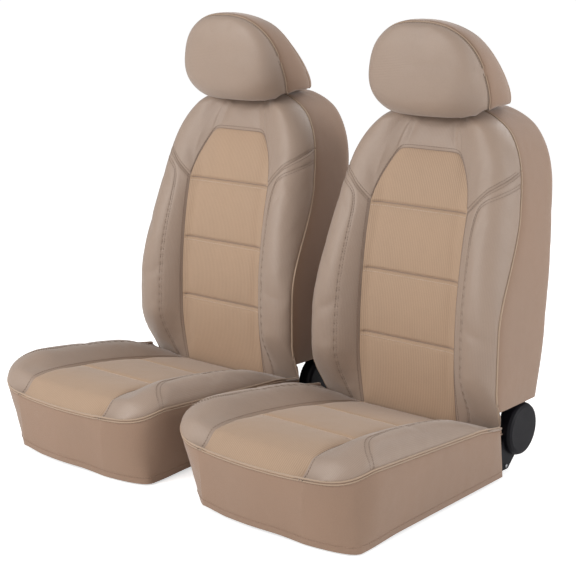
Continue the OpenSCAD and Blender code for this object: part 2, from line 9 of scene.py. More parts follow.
import bpy
import numpy as np
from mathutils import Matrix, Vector


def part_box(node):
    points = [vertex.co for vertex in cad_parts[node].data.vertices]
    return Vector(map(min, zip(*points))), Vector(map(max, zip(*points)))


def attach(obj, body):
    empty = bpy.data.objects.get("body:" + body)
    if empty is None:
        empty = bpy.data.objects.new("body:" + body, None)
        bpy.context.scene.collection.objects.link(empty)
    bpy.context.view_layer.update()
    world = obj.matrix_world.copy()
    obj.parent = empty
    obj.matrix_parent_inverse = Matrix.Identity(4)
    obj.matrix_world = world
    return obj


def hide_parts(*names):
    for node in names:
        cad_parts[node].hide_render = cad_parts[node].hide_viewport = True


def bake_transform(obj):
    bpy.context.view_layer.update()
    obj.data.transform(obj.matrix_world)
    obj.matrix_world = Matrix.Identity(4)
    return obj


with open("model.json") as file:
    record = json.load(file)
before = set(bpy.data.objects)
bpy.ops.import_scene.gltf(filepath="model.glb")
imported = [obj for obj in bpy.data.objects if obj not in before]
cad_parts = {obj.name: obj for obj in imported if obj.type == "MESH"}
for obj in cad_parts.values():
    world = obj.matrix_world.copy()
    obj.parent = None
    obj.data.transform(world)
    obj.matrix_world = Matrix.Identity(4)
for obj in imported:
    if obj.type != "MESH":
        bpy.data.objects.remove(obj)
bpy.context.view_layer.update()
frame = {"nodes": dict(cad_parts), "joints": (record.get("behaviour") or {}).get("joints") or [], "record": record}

MM = 0.001
SIDES = ("left", "right")
joints = {joint["name"]: joint for joint in frame["joints"]}

# ---- driving sizes, the same as the CAD model's ----

CUSHION_HALF = 253
CUSHION_D = 546
CUSHION_INSERT_W = 260
CUSHION_BOLSTER_H = 32
FRONT_SEAM_H = 133
HEM_GATHER = 13
BACK_W = 510
BACK_TOP = 790
LUMBAR_H = 262
LUMBAR_R = 1316
BACK_BOLSTER_H = 56
BACK_INSERT_W = 260
SHOULDER_H = 575
INSERT_TOP_H = 697
BACK_LEAN = 9.6
HEAD_W = 300
HEAD_D = 225
HEAD_H = 224

CORNER_START = CUSHION_D - 106
CORNER_RUN = 116
LEFT_HEM_CORNER = 301
RIGHT_HEM_CORNER = 42
LEFT_HEM_RISE = 7
RIGHT_HEM_DROP = 4
HEM_D = CUSHION_D - 3
FRONT_CORNER = 138
RIDGE_SHARE = 0.8
BACK_BOTTOM = 92
SIDE_HEM = 152
SHOULDER_START = 600
SHOULDER_RUN = (BACK_TOP - SHOULDER_START) / 0.958
REAR_BASE = 140
REAR_CORNER = 30
SHOULDER_SHARE = 0.555
STYLE_RISE = 92
HEAD_Y = 93
HEAD_FRONT_D = 95
HEAD_TOP_D = 43
HEAD_Z = BACK_TOP + 74
HEAD_POWER = 0.35
HEAD_SEAM = 17
HEAD_BACK_SEAM = 32
SEAM_TILT = 38
PIVOT_Y = 98
PIVOT_Z = 87

# The covers' hidden ends behind the cushion
FLAP_RUN = 62
FLAP_Z = 75
TUCK_TURN = 7
TUCK_RUN = 50
# The fold that joins them: half its width, then its ends as y, z
FOLD_HALF = 200
FOLD_START = (55, FLAP_Z)
FOLD_END = (66, 85)

# Sewing
PANEL_T = 3
FOLD_T = 1.5
STRAP_T = 1.5
SEAM_DEPTH = 2.4
SEAM_WIDTH = 6
SEAM_STITCH = 7
DOUBLE_GAP = 7
THREAD_DROP = 8
STITCH_PITCH = 6.5
STITCH_LENGTH = 4.6
STITCH_LIFT = 0.55
CHANNEL_HEIGHTS = (270, 421, 572)
CUSHION_CHANNELS = (175, 355)


def seat_origin(side):
    """The seat frame's origin in metres, from the recliner's pivot."""
    x, y, z = joints[side + "_recline"]["pos_m"]
    return np.array([x, y - PIVOT_Y * MM, z - PIVOT_Z * MM])


# ---- small numeric helpers, all on arrays ----

def lerp(a, b, t):
    return a + (b - a) * t


def smooth(t):
    t = np.clip(t, 0, 1)
    return t * t * (3 - 2 * t)


def signed_power(v, p):
    return np.sign(v) * np.abs(v) ** p


def closing(half, t, start, run, p):
    """Half width of a round cornered outline: full before start, closing after it."""
    g = np.clip((t - start) / run, 0, 1)
    return half * (1 - g ** p) ** (1 / p)


def roll_angle(s):
    return np.radians(np.maximum(0, s - RIDGE_SHARE) / (1 - RIDGE_SHARE) * 90)


def roll_share(s):
    return np.where(s < RIDGE_SHARE, s, RIDGE_SHARE + (1 - RIDGE_SHARE) * np.sin(roll_angle(s)))


def share_at(d, half):
    """The share across at which a point is d from the centre plane."""
    s = d / half
    rolled = np.clip((s - RIDGE_SHARE) / (1 - RIDGE_SHARE), 0, 1)
    return np.where(s <= RIDGE_SHARE, s, RIDGE_SHARE + (1 - RIDGE_SHARE) * np.arcsin(rolled) / (math.pi / 2))


def unit(v):
    return v / np.maximum(np.linalg.norm(v, axis=-1, keepdims=True), 1e-9)


def stack(x, y, z):
    return np.stack(np.broadcast_arrays(x, y, z), -1).astype(float)


# ---- the cushion's surfaces, with t the distance forward ----

def cushion_half_at(t):
    return closing(CUSHION_HALF, t, CORNER_START, CORNER_RUN, 2.6)


def crown_z(t):
    g = np.clip((t - CORNER_START) / (CUSHION_D - CORNER_START), 0, 1)
    return FRONT_SEAM_H - 36 + 0.25 * t - 0.00021 * t * t - 38 * (1 - np.sqrt(1 - g * g))


def cushion_bolster_z(t):
    return CUSHION_BOLSTER_H * smooth((t + 80) / 250) * (1 - 0.85 * smooth((t - 410) / 130))


def side_seam_z(t):
    return FRONT_SEAM_H - 7 + 0.0638 * t - 27 * smooth((t - 455) / 85) - 8 * (1 - smooth(t / 90))


def cushion_top(a, t):
    s = np.abs(a)
    rise = cushion_bolster_z(t) * smooth((s - 0.5) / 0.3)
    drop = crown_z(t) + rise - side_seam_z(t)
    x = np.sign(a) * roll_share(s) * cushion_half_at(t)
    y = -t - 6 * smooth(1 - np.abs(x) / FRONT_CORNER) * smooth((t - 440) / 100)
    z = crown_z(t) + rise - drop * (1 - np.cos(roll_angle(s)))
    edge = lerp(FRONT_SEAM_H - 3, side_seam_z(t), np.clip(np.abs(x) / cushion_half_at(t), 0, 1) ** 4)
    return stack(x, y, lerp(z, edge, smooth((t - 500) / 46)))


def cushion_insert_a(t):
    return share_at(CUSHION_INSERT_W / 2, cushion_half_at(t))


def cushion_t(v):
    """Distance forward, with rows that crowd together round the front edge."""
    flat = v / 0.8 * CORNER_START
    bend = CORNER_START + (CUSHION_D - CORNER_START) * np.sin(np.clip((v - 0.8) / 0.2, 0, 1) * math.pi / 2)
    return np.where(v < 0.8, np.maximum(flat, 4), bend)


def hem_half_at(way, t):
    left = closing(CUSHION_HALF - HEM_GATHER, t, HEM_D - LEFT_HEM_CORNER, LEFT_HEM_CORNER / 0.914, 2.6)
    right = closing(CUSHION_HALF + 2, t, HEM_D - RIGHT_HEM_CORNER, RIGHT_HEM_CORNER / 0.914, 2.6)
    return np.where(way < 0, left, right)


def skirt_seam(u):
    """Point on the cushion's outer seam, from the rear of the +X side round the front to the other."""
    side = np.clip(np.minimum(u, 1 - u) / 0.38, 0, 1)
    t = cushion_t(side)
    half = cushion_half_at(t)
    way = np.where(u < 0.5, 1.0, -1.0)
    front = cushion_top(np.clip((0.5 - u) / 0.12, -1, 1), np.full_like(u, CUSHION_D))
    return np.where((np.abs(u - 0.5) < 0.12)[..., None], front, stack(way * half, -t, side_seam_z(t)))


def skirt_point(u, v):
    p = skirt_seam(u)
    x, y, z = p[..., 0], p[..., 1], p[..., 2]
    t = np.minimum(-y, CUSHION_D)
    way = np.where(x < 0, -1.0, 1.0)
    scale_y = HEM_D / CUSHION_D
    hem_x = np.where(np.abs(x) >= FRONT_CORNER - 0.5, way * hem_half_at(way, t * scale_y),
                     x * hem_half_at(way, np.array(float(HEM_D))) / FRONT_CORNER)
    hem_y = y * scale_y + (1 - smooth(t / 150)) * 14
    sag = np.where(way < 0, LEFT_HEM_RISE, -RIGHT_HEM_DROP) * smooth((t - 380) / 110) * smooth((np.abs(x) - 60) / 90)
    return stack(lerp(x, hem_x, v), lerp(y, hem_y, v), lerp(z, sag, v))


# ---- the backrest's surfaces, with z the height ----

def front_y(z):
    return (z - LUMBAR_H) ** 2 / (2 * LUMBAR_R)


def rear_y(z):
    return REAR_BASE + z * math.tan(math.radians(BACK_LEAN)) - np.maximum(0, z - BACK_TOP + 50) ** 2 / 110


def back_bolster_y(z):
    return BACK_BOLSTER_H * (smooth((z - 85) / 150) - 0.62 * smooth((z - 330) / 380))


def seam_y(z):
    return (front_y(z) + lerp(-27, 42, smooth((z - 320) / 260)) + 32 * (1 - smooth((z - BACK_BOTTOM) / 110))
            - 12 * smooth((z - BACK_TOP + 50) / 50))


def top_roll(z):
    return 1 - np.sqrt(1 - np.clip((z - BACK_TOP + 36) / 36, 0, 1) ** 2)


def back_half_at(z):
    wide = BACK_W / 2 - 34 * ((z - 250) / 420) ** 2 - 14 * (np.maximum(170 - z, 0) / 80) ** 2
    return closing(wide, z, SHOULDER_START, SHOULDER_RUN, 2.8)


def back_front(a, z, inset=0.0):
    s = np.abs(a)
    rise = back_bolster_y(z) * smooth((s - 0.42) / 0.36)
    face = front_y(z) - rise
    face = face + (seam_y(z) - face) * (1 - np.cos(roll_angle(s)))
    return stack(np.sign(a) * roll_share(s) * (back_half_at(z) - inset),
                 lerp(face, seam_y(z), top_roll(z)) + inset,
                 z - inset * smooth((z - SHOULDER_START) / (BACK_TOP - SHOULDER_START)))


def back_side(way, z, u):
    g = np.clip((u - 0.6) / 0.4, 0, 1) * math.pi / 2
    flat = np.minimum(1, u / 0.6)
    return stack(way * (back_half_at(z) - REAR_CORNER * (1 - np.cos(g))),
                 lerp(seam_y(z), rear_y(z) - REAR_CORNER, flat) + REAR_CORNER * np.sin(g), z)


def rounded(points, passes=3):
    """A corner-cutting curve through a few points."""
    p = np.asarray(points, float)
    for _ in range(passes):
        cut = np.concatenate([p[:-1] * 0.75 + p[1:] * 0.25, p[:-1] * 0.25 + p[1:] * 0.75], 1).reshape(-1, 2)
        p = np.concatenate([p[:1], cut, p[-1:]])
    return p


# Outline of the backrest insert above its widest point: share of the half width, height
INSERT_OUTLINE = rounded([(SHOULDER_SHARE, SHOULDER_H), (0.54, 612), (0.462, 664), (0.405, 690),
                          (0.35, INSERT_TOP_H), (0.2, INSERT_TOP_H)])


def insert_edge(z):
    high = INSERT_OUTLINE[INSERT_OUTLINE[:, 1] < INSERT_TOP_H - 0.01]
    high = np.concatenate([high, [[high[-1, 0] - 0.03, INSERT_TOP_H]]])
    return np.where(z <= SHOULDER_H, BACK_INSERT_W / 2 / back_half_at(z), np.interp(z, high[:, 1], high[:, 0]))


def style_z(s):
    return SHOULDER_H + STYLE_RISE * (s - SHOULDER_SHARE) / (1 - SHOULDER_SHARE)


def yoke_z(s):
    slope = np.interp(s, INSERT_OUTLINE[::-1, 0], INSERT_OUTLINE[::-1, 1])
    return np.where(s <= SHOULDER_SHARE, slope, style_z(s))


# ---- the headrest's surface ----

def head_floor(y):
    return BACK_TOP + 8 - 26 * smooth((130 - y) / 70)


def head_point(lat, lon):
    """Latitude from the front pole to the rear pole and longitude round the Y axis, in degrees."""
    tilted = np.radians(lat - SEAM_TILT * np.sin(np.radians(lon)) * (1 - np.abs(lat) / 90))
    lon = np.radians(lon)
    k = np.cos(tilted) ** HEAD_POWER
    up = k * signed_power(np.sin(lon), 0.81) * HEAD_H / 2
    out = k * signed_power(np.cos(lon), 0.81) * HEAD_W / 2
    rear_d = lerp(HEAD_D - HEAD_FRONT_D, HEAD_TOP_D, smooth((up + 36) / 132))
    y = HEAD_Y + signed_power(np.sin(tilted), 0.8) * np.where(tilted < 0, HEAD_FRONT_D, rear_d)
    over = HEAD_Z + up - 0.27 * (y - HEAD_Y) - head_floor(y)
    z = head_floor(y) + 5 * np.logaddexp(0, over / 5)
    return stack(out * (1 - 0.12 * up / (HEAD_H / 2)), y, z)


# ---- grids ----

def edged_steps(count):
    """Numbers from 0 to 1 that crowd together next to the seams at both ends."""
    near = np.array([0.0, 0.1, 0.25, 0.5, 1.0]) * 1.6 / count
    return np.concatenate([near[:-1], np.linspace(near[-1], 1 - near[-1], count), 1 - near[-2::-1]])


def normals_of(grid, around=False):
    """Unit normals of a grid of points. Rows run up and columns across, seen from outside."""
    if around:
        across = np.roll(grid, -1, 1) - np.roll(grid, 1, 1)
    else:
        across = np.gradient(grid, axis=1)
    up = np.gradient(grid, axis=0)
    return unit(np.cross(across, up))


def arc_lengths(grid, axis):
    step = np.linalg.norm(np.diff(grid, axis=axis), axis=-1)
    pad = np.zeros_like(np.take(step, [0], axis=axis))
    return np.concatenate([pad, np.cumsum(step, axis=axis)], axis=axis)


EDGES = ("left", "right", "bottom", "top")


class Panel:
    """A sewn panel: a grid of points over (u, v), with its normals and its cloth coordinates."""

    def __init__(self, shape, us, vs, around=False):
        self.us, self.vs, self.around, self.shape = us, vs, around, shape
        u, v = np.meshgrid(us, vs)
        self.grid = shape(u, v)
        self.base = self.grid.copy()
        self.normals = normals_of(self.grid, around)
        length_u = arc_lengths(self.grid, 1)
        length_v = arc_lengths(self.grid, 0)
        self.from_edges = (length_u, length_u[:, -1:] - length_u, length_v, length_v[-1:] - length_v)
        self.size_m = float(length_u.max()) * MM, float(length_v.max()) * MM
        middle = length_u[:, [len(us) // 2]]
        along = np.broadcast_to(length_v.mean(1, keepdims=True), length_u.shape)
        self.cloth = np.stack([length_u - middle, along], -1)

    def push(self, amount):
        """Moves the surface out along its normals by amount, in millimetres."""
        self.grid = self.grid + self.normals * np.asarray(amount)[..., None]

    def sew(self, edges):
        """Draws the surface in along the edges that are seams."""
        dip = np.zeros(self.grid.shape[:2])
        for name, distance in zip(EDGES, self.from_edges):
            if name in edges:
                dip = np.maximum(dip, SEAM_DEPTH * np.exp(-distance / SEAM_WIDTH))
        self.push(-dip)

    def at(self, u, v):
        """Points and normals of the finished surface at parameters (u, v)."""
        u, v = np.broadcast_arrays(np.asarray(u, float), np.asarray(v, float))
        x = np.interp(u, self.us, np.arange(len(self.us)))
        y = np.interp(v, self.vs, np.arange(len(self.vs)))
        c = np.minimum(x.astype(int), len(self.us) - 2)
        r = np.minimum(y.astype(int), len(self.vs) - 2)
        fx, fy = (x - c)[..., None], (y - r)[..., None]
        n = normals_of(self.grid, self.around)

        def mix(g):
            low = g[r, c] * (1 - fx) + g[r, c + 1] * fx
            high = g[r + 1, c] * (1 - fx) + g[r + 1, c + 1] * fx
            return low * (1 - fy) + high * fy

        return mix(self.grid), mix(n)


# ---- meshes ----

def linked(name, data):
    obj = bpy.data.objects.new(name, data)
    bpy.context.scene.collection.objects.link(obj)
    return obj


def new_object(name, vertices, faces, side, uv=None, material=None):
    """A smooth shaded object from points in a seat's frame, in millimetres."""
    mesh = bpy.data.meshes.new(name)
    mesh.from_pydata((np.asarray(vertices) * MM + seat_origin(side)).tolist(), [], faces)
    mesh.validate()
    mesh.polygons.foreach_set("use_smooth", [True] * len(mesh.polygons))
    mesh.set_sharp_from_angle(angle=math.radians(50))
    if uv is not None:
        layer = mesh.uv_layers.new(name="Cloth")
        index = np.zeros(len(mesh.loops), int)
        mesh.loops.foreach_get("vertex_index", index)
        layer.data.foreach_set("uv", (np.asarray(uv)[index] * MM).ravel())
    if material is not None:
        mesh.materials.append(material)
    return linked(name, mesh)


def grid_faces(rows, cols, start=0, flip=False, around=False):
    r, c = np.meshgrid(np.arange(rows - 1), np.arange(cols if around else cols - 1), indexing="ij")
    right = (c + 1) % cols
    quads = np.stack([r * cols + c, r * cols + right, (r + 1) * cols + right, (r + 1) * cols + c], -1).reshape(-1, 4)
    if flip:
        quads = quads[:, ::-1]
    return (quads + start).tolist()


def closed_faces(rows, cols, flip=False, around=False):
    """Faces of a sheet with a thickness, from its outer grid of points and then its inner one."""
    count = rows * cols
    faces = grid_faces(rows, cols, 0, flip, around) + grid_faces(rows, cols, count, not flip, around)
    last = (rows - 1) * cols
    if around:
        rings = [list(range(cols)), list(range(last + cols - 1, last - 1, -1))]
    else:
        rings = [list(range(cols)) + [r * cols + cols - 1 for r in range(1, rows)]
                 + list(range(last + cols - 2, last - 1, -1)) + [r * cols for r in range(rows - 2, 0, -1)]]
    for ring in rings:
        for a, b in zip(ring, ring[1:] + ring[:1]):
            faces.append([a, b, b + count, a + count] if flip else [b, a, a + count, b + count])
    return faces


def panel_object(name, panel, side, material, thickness=PANEL_T):
    """The panel as a closed sheet of fabric with a real thickness."""
    inner = panel.grid - normals_of(panel.grid, panel.around) * thickness
    vertices = np.concatenate([panel.grid.reshape(-1, 3), inner.reshape(-1, 3)])
    faces = closed_faces(*panel.grid.shape[:2], around=panel.around)
    uv = np.concatenate([panel.cloth.reshape(-1, 2)] * 2)
    return new_object(name, vertices, faces, side, uv, material)


def cut_area(panel):
    """Area of the panel's cut in square metres, from its shape before the cloth and the sewing move it."""
    g = panel.base
    if panel.around:
        g = np.concatenate([g, g[:, :1]], 1)
    a = np.cross(g[1:, 1:] - g[:-1, :-1], g[1:, :-1] - g[:-1, 1:])
    return float(np.linalg.norm(a, axis=-1).sum() / 2 * MM * MM)


def tube(points, normals, radius, sides=8):
    """Vertices and faces of a round cord along points."""
    points = np.asarray(points, float)
    along = unit(np.gradient(points, axis=0))
    across = unit(np.cross(along, normals))
    up = np.cross(across, along)
    turn = np.arange(sides) / sides * 2 * math.pi
    cos, sin = np.cos(turn)[None, :, None], np.sin(turn)[None, :, None]
    rings = points[:, None] + radius * (cos * across[:, None] + sin * up[:, None])
    n = len(points)
    faces = grid_faces(n, sides, 0, False, True)
    faces.append(list(range(sides))[::-1])
    faces.append([(n - 1) * sides + i for i in range(sides)])
    return rings.reshape(-1, 3), faces


def merged(parts):
    vertices, faces, start = [], [], 0
    for v, f in parts:
        vertices.append(v)
        faces += [[i + start for i in face] for face in f]
        start += len(v)
    return np.concatenate(vertices), faces


def spaced(points, count_for, *rows):
    """Even distances along a line of points, as many as its length asks for, and each row's vectors there."""
    length = arc_lengths(points, 0)
    at = np.linspace(0, length[-1], count_for(length[-1]))
    return at, *(np.stack([np.interp(at, length, row[:, i]) for i in range(3)], 1) for row in rows)


def stitches(points, normals, radius):
    """A row of separate sewn stitches along a line on the fabric."""
    _, points, normals = spaced(points, lambda total: max(2, int(total / STITCH_PITCH) + 1), points, normals)
    shape = np.array([[-0.5], [-0.3], [0.3], [0.5]]) * STITCH_LENGTH
    height = np.array([[-0.8], [STITCH_LIFT], [STITCH_LIFT], [-0.8]])
    parts = []
    for a, b, n in zip(points, points[1:], (normals[:-1] + normals[1:]) / 2):
        d = (b - a) / max(np.linalg.norm(b - a), 1e-6)
        parts.append(tube((a + b) / 2 + shape * d + height * n, np.repeat(n[None], 4, 0), radius, 6))
    return merged(parts)


# ---- the panels' shapes over u (across) and v, both from 0 to 1, seen from outside ----

def back_insert(u, v):
    z = lerp(BACK_BOTTOM, INSERT_TOP_H, v)
    return back_front(lerp(-1, 1, u) * insert_edge(z), z)


def back_yoke(u, v):
    a = lerp(-1, 1, u)
    return back_front(a, lerp(yoke_z(np.abs(a)), BACK_TOP, np.sin(v * math.pi / 2)))


def bolster_inner(z):
    """Share of the half width at which a backrest bolster begins."""
    return np.where(z <= SHOULDER_H, insert_edge(z), SHOULDER_SHARE)


def back_bolster(way):
    def shape(u, v):
        u = u if way > 0 else 1 - u
        z = lerp(BACK_BOTTOM, style_z(lerp(SHOULDER_SHARE, 1, u)), v)
        return back_front(way * lerp(bolster_inner(z), 1, u), z)
    return shape


def shoulder_z(v, low):
    """Height of a row, with rows that crowd together over the shoulders."""
    rise = SHOULDER_START + (BACK_TOP - SHOULDER_START) * np.sin(np.clip((v - 0.6) / 0.4, 0, 1) * math.pi / 2)
    return np.where(v < 0.6, lerp(low, SHOULDER_START, v / 0.6), rise)


def gusset(way):
    def shape(u, v):
        return back_side(way, shoulder_z(v, SIDE_HEM), u if way > 0 else 1 - u)
    return shape


def back_cap(u, v):
    edge = back_side(1, np.full_like(v, BACK_TOP), v)
    crown = 2.5 * np.sin(v * math.pi) * (1 - lerp(-1, 1, u) ** 4)
    return stack(lerp(-1, 1, u) * edge[..., 0], edge[..., 1], BACK_TOP + crown)


def back_rear(u, v):
    z = shoulder_z(v, 120)
    return stack(lerp(1, -1, u) * (back_half_at(z) - REAR_CORNER), rear_y(z), z)


def back_tuck(u, v):
    """The front panels' lower end, turned under the foam towards the rear."""
    edge = back_front(lerp(-0.97, 0.97, u), np.full_like(u, BACK_BOTTOM + 1.0), 1.5)
    turn = np.minimum(1, v / 0.3) * math.pi / 2
    back = TUCK_TURN * (1 - np.cos(turn)) + TUCK_RUN * np.maximum(0, v - 0.3) / 0.7
    return stack(edge[..., 0], edge[..., 1] + back, edge[..., 2] - TUCK_TURN * np.sin(turn))


def cushion_flap(u, v):
    """The cushion cover's rear end, which runs on below the backrest."""
    edge = cushion_top(lerp(0.8, -0.8, u), np.full_like(u, 4.0))
    back = 1 - v
    z = lerp(edge[..., 2] - 0.6, FLAP_Z, smooth(back * 3.2))
    return stack(edge[..., 0], edge[..., 1] + FLAP_RUN * back, z)


def bite_fold(u, v):
    """The fold behind the cushion that joins both covers' hidden ends, in one fixed shape; the real fold opens as
    the backrest reclines.
    """
    y = lerp(FOLD_START[0], FOLD_END[0], v) + 4 * np.sin(v * math.pi)
    return stack(lerp(FOLD_HALF, -FOLD_HALF, u), y, lerp(FOLD_START[1], FOLD_END[1], v))


def cushion_insert(u, v):
    t = cushion_t(v)
    return cushion_top(lerp(1, -1, u) * cushion_insert_a(t), t)


def cushion_bolster(way):
    def shape(u, v):
        t = cushion_t(v)
        u = 1 - u if way > 0 else u
        return cushion_top(way * lerp(cushion_insert_a(t), 1, u), t)
    return shape


def head_front(u, v):
    k = lerp(0.002, math.cos(math.radians(HEAD_SEAM)) ** HEAD_POWER, v)
    return head_point(-np.degrees(np.arccos(k ** (1 / HEAD_POWER))), -360 * u)


def head_band(u, v):
    return head_point(lerp(-HEAD_SEAM, HEAD_BACK_SEAM, v), -360 * u)


def head_rear(u, v):
    k = lerp(math.cos(math.radians(HEAD_BACK_SEAM)) ** HEAD_POWER, 0.002, v)
    return head_point(np.degrees(np.arccos(k ** (1 / HEAD_POWER))), -360 * u)


def ring_steps(count):
    return np.arange(count) / count


def with_steps(steps, *extra):
    return np.unique(np.round(np.concatenate([steps, np.array(extra)]), 6))


def groove_steps(count, places, reach):
    """Steps from 0 to 1 with extra rows across each groove."""
    offsets = np.array([-2, -1, -0.5, -0.25, 0, 0.25, 0.5, 1, 2]) * reach
    return with_steps(edged_steps(count), *[p + o for p in places for o in offsets])


def channel_v(z):
    return (z - BACK_BOTTOM) / (INSERT_TOP_H - BACK_BOTTOM)


def cushion_v(t):
    """The v at which cushion_t gives the distance forward t."""
    bend = np.arcsin(np.clip((t - CORNER_START) / (CUSHION_D - CORNER_START), 0, 1)) / (math.pi / 2)
    return np.where(t <= CORNER_START, t / CORNER_START * 0.8, 0.8 + 0.2 * bend)


def pair(name, shape, across, up):
    """The left and the right panel of a kind."""
    return {name.format(place): Panel(shape(way), edged_steps(across), edged_steps(up))
            for place, way in (("left", -1), ("right", 1))}


STYLE_US = [(1 + way * share) / 2 for way in (-1, 1) for share in (0.3, 0.34, 0.36, 0.38, 0.4, 0.42, SHOULDER_SHARE)]
panels = {
    "headrest_front": Panel(head_front, ring_steps(120), np.linspace(0, 1, 44), True),
    "headrest_band": Panel(head_band, ring_steps(120), edged_steps(26), True),
    "headrest_back": Panel(head_rear, ring_steps(120), np.linspace(0, 1, 30), True),
    "backrest_insert": Panel(back_insert, edged_steps(46),
                             groove_steps(110, [channel_v(z) for z in CHANNEL_HEIGHTS], 0.009)),
    "backrest_yoke": Panel(back_yoke, with_steps(edged_steps(76), *STYLE_US), edged_steps(40)),
    **pair("backrest_{}_bolster", back_bolster, 40, 96),
    **pair("backrest_{}_side", gusset, 30, 100),
    "backrest_cap": Panel(back_cap, edged_steps(36), edged_steps(24)),
    "backrest_back": Panel(back_rear, edged_steps(50), edged_steps(80)),
    "backrest_tuck": Panel(lambda u, v: back_tuck(1 - u, v), edged_steps(50), np.linspace(0, 1, 16)),
    "cushion_flap": Panel(cushion_flap, edged_steps(40), np.linspace(0, 1, 20)),
    "cushion_insert": Panel(cushion_insert, edged_steps(46),
                            groove_steps(96, [cushion_v(t) for t in CUSHION_CHANNELS], 0.011)),
    **pair("cushion_{}_bolster", cushion_bolster, 40, 96),
    "cushion_skirt": Panel(skirt_point, edged_steps(220), edged_steps(26)),
}


# ---- cloth: each body's panels swell between their seams ----

def coarse_steps(panel, cell):
    across = float(np.median(panel.from_edges[0][:, -1]))
    along = float(np.median(panel.from_edges[2][-1]))
    count = max(6, round(across / cell))
    us = ring_steps(count) if panel.around else np.linspace(0, 1, count + 1)
    return us, np.linspace(0, 1, max(6, round(along / cell)) + 1)


def pinned_rows(name, vs):
    """Rows of the coarse cloth that are sewn down: the seams, and the grooves across the inserts.
    The headrest's front and back close to a point in their middle, which is free."""
    rows = {0, len(vs) - 1} - {{"headrest_front": 0, "headrest_back": len(vs) - 1}.get(name)}
    places = {"backrest_insert": [channel_v(z) for z in CHANNEL_HEIGHTS],
              "cushion_insert": [cushion_v(t) for t in CUSHION_CHANNELS]}
    return rows | {int(np.argmin(np.abs(vs - place))) for place in places.get(name, [])}


CLOTH_CELL = 9
CLOTH_FRAMES = 20


def swell(names, pressure, cap, shrink):
    """Runs Blender's cloth on the named panels together and moves their surfaces with it."""
    vertices, faces, pins, spans = [], [], [], []
    start = 0
    for name in names:
        panel = panels[name]
        us, vs = coarse_steps(panel, CLOTH_CELL)
        u, v = np.meshgrid(us, vs)
        grid = panel.shape(u, v)
        rows, cols = grid.shape[:2]
        spans.append((panel, us, vs, grid, start))
        vertices.append(grid.reshape(-1, 3))
        faces += grid_faces(rows, cols, start, False, panel.around)
        fixed = pinned_rows(name, vs)
        pins += [start + r * cols + c for r in range(rows) for c in range(cols)
                 if r in fixed or (not panel.around and c in (0, cols - 1))]
        start += rows * cols
    mesh = bpy.data.meshes.new("cloth")
    mesh.from_pydata((np.concatenate(vertices) * MM).tolist(), [], faces)
    cloth = linked("cloth", mesh)
    cloth.vertex_groups.new(name="seams").add(pins, 1.0, "REPLACE")
    modifier = cloth.modifiers.new("Cloth", "CLOTH")
    settings = modifier.settings
    settings.quality = 6
    settings.mass = 0.3
    settings.tension_stiffness = settings.compression_stiffness = 15
    settings.bending_stiffness = 0.6
    settings.vertex_group_mass = "seams"
    settings.use_pressure = True
    settings.uniform_pressure_force = pressure
    settings.shrink_min = shrink
    settings.effector_weights.gravity = 0
    modifier.collision_settings.use_collision = False
    scene = bpy.context.scene
    modifier.point_cache.frame_start = 1
    modifier.point_cache.frame_end = CLOTH_FRAMES
    for step in range(1, CLOTH_FRAMES + 1):
        scene.frame_set(step)
    evaluated = cloth.evaluated_get(bpy.context.evaluated_depsgraph_get())
    moved = np.zeros(len(mesh.vertices) * 3)
    evaluated.data.vertices.foreach_get("co", moved)
    moved = moved.reshape(-1, 3) / MM
    scene.frame_set(1)
    bpy.data.objects.remove(cloth)
    bpy.data.meshes.remove(mesh)
    for panel, us, vs, grid, first in spans:
        count = grid.shape[0] * grid.shape[1]
        shift = moved[first:first + count].reshape(grid.shape) - grid
        size = np.linalg.norm(shift, axis=-1, keepdims=True)
        shift *= cap * np.tanh(size / cap) / np.maximum(size, 1e-9)
        if panel.around:
            shift = np.concatenate([shift, shift[:, :1]], 1)
            us = np.append(us, 1.0)
        panel.grid = panel.grid + upsample(shift, us, vs, panel)


def relaxed(a):
    """Averages each row with its neighbours, apart from the first and the last."""
    out = a.copy()
    out[1:-1] = (a[:-2] + 2 * a[1:-1] + a[2:]) / 4
    return out


def upsample(shift, us, vs, panel):
    """A coarse grid of shifts, indexed by (v, u, xyz), as a smooth one on the panel's own grid."""
    rows = np.stack([[np.interp(panel.us, us, row[:, k]) for k in range(3)] for row in shift])
    fine = np.stack([[np.interp(panel.vs, vs, rows[:, k, c]) for k in range(3)] for c in range(rows.shape[2])])
    fine = fine.transpose(2, 0, 1)
    for _ in range(3):
        if panel.around:
            fine = (np.roll(fine, 1, 1) + 2 * fine + np.roll(fine, -1, 1)) / 4
        else:
            fine = relaxed(fine.swapaxes(0, 1)).swapaxes(0, 1)
        fine = relaxed(fine)
    return fine


for names, pressure, cap, shrink in (
        (["backrest_insert", "backrest_yoke", "backrest_left_bolster", "backrest_right_bolster"], 4, 6, -0.006),
        (["backrest_left_side", "backrest_right_side", "backrest_back", "backrest_cap"], 2, 3, -0.004),
        (["cushion_insert", "cushion_left_bolster", "cushion_right_bolster"], 4, 6, -0.006),
        (["cushion_skirt"], 1.5, 3, -0.004),
        (["headrest_front"], 4, 5, -0.004),
        (["headrest_band", "headrest_back"], 2, 3, -0.004)):
    swell(names, pressure, cap, shrink)


# ---- sewing: seams and channels drawn in after the cloth has settled ----

def groove(panel, place, depth, width):
    """A sewn line across the panel at one value of v, which fades 12 mm from the side seams."""
    lengths = panel.from_edges[2]
    at = np.stack([np.interp(place, panel.vs, column) for column in lengths.T])[None]
    ends = np.minimum(panel.from_edges[0], panel.from_edges[1])
    panel.push(-depth * np.exp(-((lengths - at) / width) ** 2) * smooth(ends / 12))


